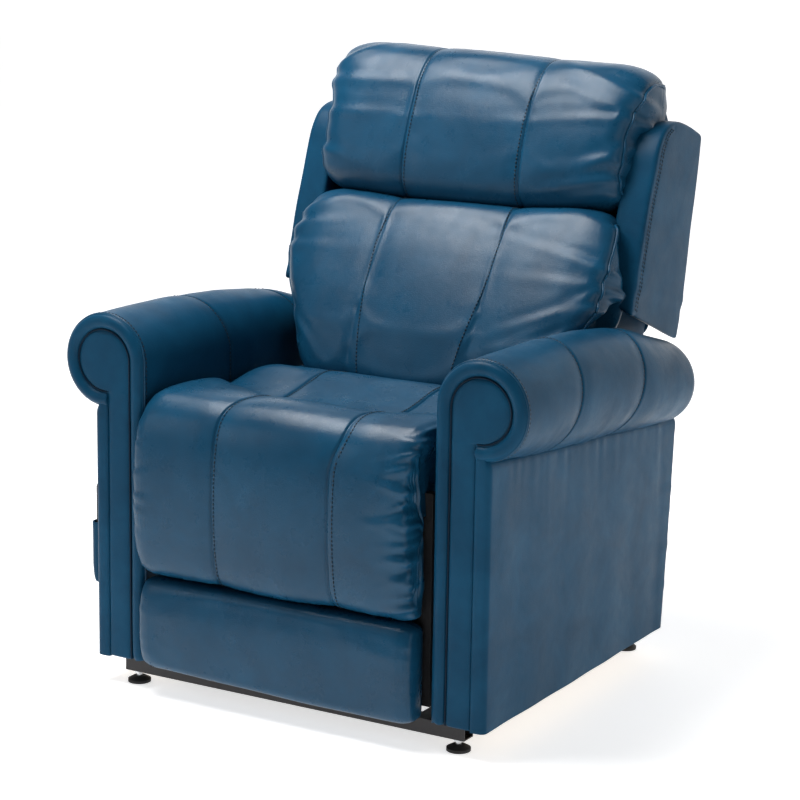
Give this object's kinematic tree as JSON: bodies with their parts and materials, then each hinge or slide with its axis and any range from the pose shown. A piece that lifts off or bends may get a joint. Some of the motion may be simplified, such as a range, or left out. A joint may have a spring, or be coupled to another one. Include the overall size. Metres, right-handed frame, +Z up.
{
  "type": "lift recliner armchair",
  "caption": "Powered lift recliner armchair with rolled arms, winged backrest, chaise footrest, steel lift base and pocket handset.",
  "frame": {"origin": "centre of the bounding box on the floor plane", "axes": "+X to the sitter's left, -Y is the way the chair faces, +Z up"},
  "size_m": [0.88, 0.9022, 1.0705],
  "materials": {
    "leather": "smooth satin leather, teal navy",
    "cushion": "smooth satin leather over foam",
    "padding": "smooth satin leather over foam",
    "steel_black": "black powder coat",
    "zinc": "bright zinc plate",
    "aluminium": "satin",
    "plastic_black": "fine matt texture",
    "button_grey": "matt silicone",
    "rubber": "matt",
    "wood": "raw plywood and softwood"
  },
  "bodies": {
    "base": {"base_front_rail": "steel_black", "base_rear_rail": "steel_black", "base_side_rails": "steel_black", "foot_pads": "rubber", "foot_studs": "zinc", "foot_jam_nuts": "zinc", "base_pivot_brackets": "steel_black", "base_pivot_pins": "zinc", "lift_motor_bracket": "steel_black", "power_box": "plastic_black", "power_inlet": "plastic_black"},
    "lift_link": {"lift_links": "steel_black", "lift_torque_tube": "steel_black", "lift_clevis_pin": "zinc"},
    "control_link": {"control_links": "steel_black"},
    "lift_actuator": {"lift_motor": "plastic_black", "lift_outer_tube": "aluminium"},
    "lift_ram": {"lift_ram": "aluminium"},
    "chassis": {"side_plates": "steel_black", "chassis_cross_tubes": "steel_black", "chassis_hangers": "steel_black", "chassis_pins": "zinc", "arm_spacers": "zinc", "seat_frame": "steel_black", "seat_springs": "zinc", "seat_cushion": "cushion", "seat_front_roll": "cushion", "arm_frame_left": "wood", "arm_frame_right": "wood", "arm_roll_left": "padding", "arm_roll_right": "padding", "arm_outer_panels": "leather", "arm_inner_panels": "leather", "arm_front_left": "leather", "arm_front_right": "leather", "arm_front_insets": "leather", "handset_pocket": "leather", "handset_body": "plastic_black", "rear_apron": "leather"},
    "button_up": {"handset_button_up": "button_grey"},
    "button_down": {"handset_button_down": "button_grey"},
    "back": {"back_frame": "wood", "back_brackets": "steel_black", "back_springs": "zinc", "lumbar_cushion": "cushion", "head_cushion": "cushion", "wing_left": "padding", "wing_right": "padding", "back_outer_panel": "leather"},
    "footrest_drive": {"footrest_drive_tube": "steel_black", "footrest_drive_links": "steel_black"},
    "footrest_link": {"footrest_lift_links": "steel_black"},
    "footrest": {"footrest_board": "wood", "footrest_brackets": "steel_black", "footrest_upper_pad": "cushion", "footrest_lower_pad": "cushion"},
    "back_rod": {"back_drive_rods": "steel_black"},
    "recline_actuator": {"recline_motor": "plastic_black", "recline_outer_tube": "aluminium"},
    "recline_ram": {"recline_ram": "aluminium"}
  },
  "joints": [
    {"name": "lift", "type": "hinge", "parent": "base", "child": "lift_link", "pos_m": [0, -0.304, 0.082], "axis": [1, 0, 0], "range_deg": [0, 45]},
    {"name": "chassis_tilt", "type": "hinge", "parent": "lift_link", "child": "chassis", "pos_m": [0, 0.0921, 0.1377], "axis": [1, 0, 0], "range_deg": [-15.1, 0]},
    {"name": "control_link_swing", "type": "hinge", "parent": "base", "child": "control_link", "pos_m": [0, -0.3322, 0.0804], "axis": [1, 0, 0], "range_deg": [0, 53.9]},
    {"name": "lift_actuator_swing", "type": "hinge", "parent": "base", "child": "lift_actuator", "pos_m": [-0.07, 0.18, 0.095], "axis": [1, 0, 0], "range_deg": [-0.1, 0.5]},
    {"name": "lift_ram_slide", "type": "slide", "parent": "lift_actuator", "child": "lift_ram", "axis": [0, -0.9911, 0.1331], "range_m": [0, 0.0614]},
    {"name": "recline", "type": "hinge", "parent": "chassis", "child": "back", "pos_m": [0, 0.086, 0.35], "axis": [-1, 0, 0], "range_deg": [0, 40]},
    {"name": "footrest_drive", "type": "hinge", "parent": "chassis", "child": "footrest_drive", "pos_m": [0, -0.254, 0.22], "axis": [1, 0, 0], "range_deg": [0, 53.9]},
    {"name": "footrest_knee", "type": "hinge", "parent": "footrest_drive", "child": "footrest_link", "pos_m": [0, -0.2038, 0.3719], "axis": [1, 0, 0], "range_deg": [-73.1, 0]},
    {"name": "footrest_tilt", "type": "hinge", "parent": "footrest_link", "child": "footrest", "pos_m": [0, -0.3621, 0.395], "axis": [1, 0, 0], "range_deg": [-65.9, 0]},
    {"name": "back_rod_swing", "type": "hinge", "parent": "footrest_drive", "child": "back_rod", "pos_m": [0, -0.2359, 0.2557], "axis": [1, 0, 0], "range_deg": [-54.8, 0]},
    {"name": "recline_actuator_swing", "type": "hinge", "parent": "chassis", "child": "recline_actuator", "pos_m": [0.07, 0.06, 0.225], "axis": [1, 0, 0], "range_deg": [-0.1, 0.9]},
    {"name": "recline_ram_slide", "type": "slide", "parent": "recline_actuator", "child": "recline_ram", "axis": [0, -0.986, 0.1667], "range_m": [0, 0.0545]},
    {"name": "button_up_press", "type": "slide", "parent": "chassis", "child": "button_up", "axis": [1, 0, 0], "range_m": [0, 0.0012], "stiffness_N_per_m": 400},
    {"name": "button_down_press", "type": "slide", "parent": "chassis", "child": "button_down", "axis": [1, 0, 0], "range_m": [0, 0.0012], "stiffness_N_per_m": 400}
  ],
  "couplings": [
    {"joint": "chassis_tilt", "follows": "lift", "ratio": -0.33333},
    {"joint": "control_link_swing", "follows": "lift", "ratio": 1.1966},
    {"joint": "lift_actuator_swing", "follows": "lift", "ratio": 0.01006},
    {"joint": "lift_ram_slide", "follows": "lift", "m_per_rad": 0.077947},
    {"joint": "footrest_drive", "follows": "recline", "ratio": 1.345},
    {"joint": "footrest_knee", "follows": "recline", "ratio": -1.825},
    {"joint": "footrest_tilt", "follows": "recline", "ratio": -1.645},
    {"joint": "back_rod_swing", "follows": "recline", "ratio": -1.3666},
    {"joint": "recline_actuator_swing", "follows": "recline", "ratio": 0.019895},
    {"joint": "recline_ram_slide", "follows": "recline", "m_per_rad": 0.077745}
  ]
}
